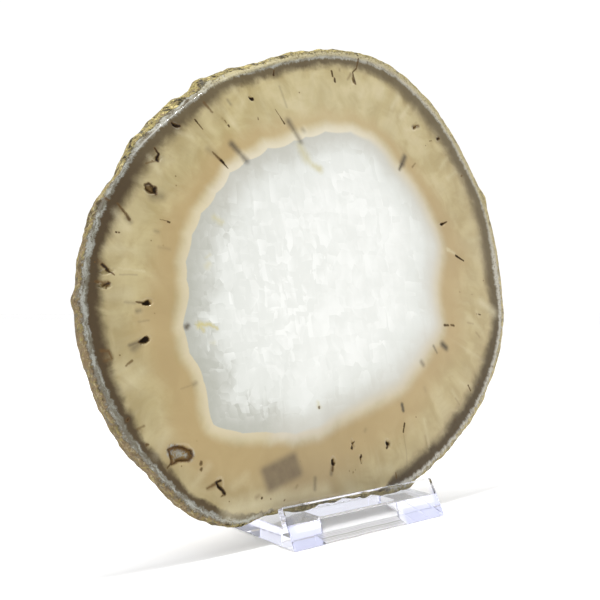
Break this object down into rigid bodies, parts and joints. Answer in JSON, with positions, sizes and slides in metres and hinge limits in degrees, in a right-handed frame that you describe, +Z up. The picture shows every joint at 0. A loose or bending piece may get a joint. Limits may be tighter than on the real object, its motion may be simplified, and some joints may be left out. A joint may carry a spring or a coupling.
{
  "type": "agate slice on a display stand",
  "caption": "Polished agate slice with a rough natural rim and a white quartz middle, leaning back on a small clear moulded stand.",
  "frame": {"origin": "on the table, under the middle of the whole object's box", "axes": "+X to the right along the stand and the slice's long side, -Y out of the polished face, +Z up"},
  "size_m": [0.1744, 0.0538, 0.1577],
  "materials": {
    "agate": "polished faces, rough natural rim",
    "clear_acrylic": "clear, glossy moulded plastic",
    "label_paper": "matt"
  },
  "bodies": {
    "root": {"agate_slice": "agate", "clear_stand": "clear_acrylic", "back_label": "label_paper"}
  },
  "joints": []
}
